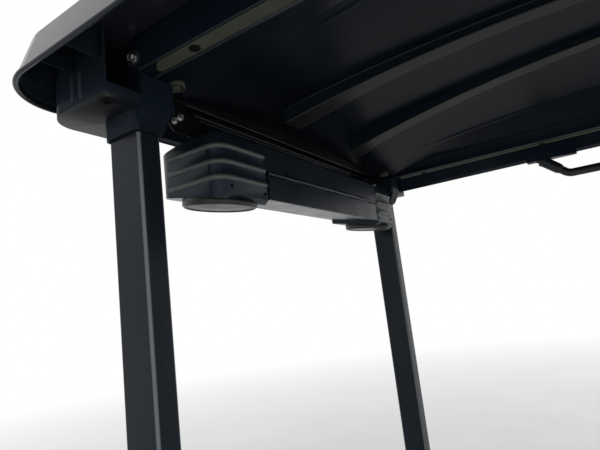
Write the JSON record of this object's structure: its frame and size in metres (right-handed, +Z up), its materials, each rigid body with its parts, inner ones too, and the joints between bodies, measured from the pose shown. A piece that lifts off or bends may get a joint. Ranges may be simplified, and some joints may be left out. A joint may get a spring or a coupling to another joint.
{
  "type": "golf cart canopy",
  "caption": "Moulded black canopy of a golf cart on rectangular struts, with an overhead console that has a hinged door and round speaker pods, and side grab handles.",
  "frame": {"origin": "centre of the roof's plan, on the plane that the four feet stand on", "axes": "+X to the front of the cart, +Y to its left, +Z up"},
  "size_m": [1.446, 1.204, 1.5059],
  "materials": {
    "roof_gloss": "gloss black moulded plastic",
    "console_black": "satin black moulded plastic",
    "strut_black": "gloss black powder coat",
    "frame_black": "satin black paint",
    "trim_black": "fine grained black plastic",
    "grip_black": "matt black coated tube",
    "pin_steel": "plain steel"
  },
  "bodies": {
    "canopy": {"roof_shell": "roof_gloss", "roof_lining": "roof_gloss", "rear_cross_beam": "frame_black", "front_cross_beam": "frame_black", "rear_strut_left": "strut_black", "rear_foot_left": "strut_black", "rear_corner_boss_left": "roof_gloss", "handle_mount_rear_left": "trim_black", "rear_strut_right": "strut_black", "rear_foot_right": "strut_black", "rear_corner_boss_right": "roof_gloss", "handle_mount_rear_right": "trim_black", "front_strut_left": "strut_black", "front_foot_left": "strut_black", "front_corner_boss_left": "roof_gloss", "handle_mount_front_left": "trim_black", "front_strut_right": "strut_black", "front_foot_right": "strut_black", "front_corner_boss_right": "roof_gloss", "handle_mount_front_right": "trim_black", "console_end_left": "console_black", "speaker_pod_left": "console_black", "console_hanger_left": "frame_black", "grab_handle_left": "grip_black", "console_end_right": "console_black", "speaker_pod_right": "console_black", "console_hanger_right": "frame_black", "grab_handle_right": "grip_black", "console_body": "console_black", "console_hinge_pin": "pin_steel"},
    "console_door": {"console_door": "console_black"}
  },
  "joints": [
    {"name": "console_door_hinge", "type": "hinge", "parent": "canopy", "child": "console_door", "pos_m": [-0.548, 0, 1.297], "axis": [0, -1, 0], "range_deg": [0, 85]}
  ]
}
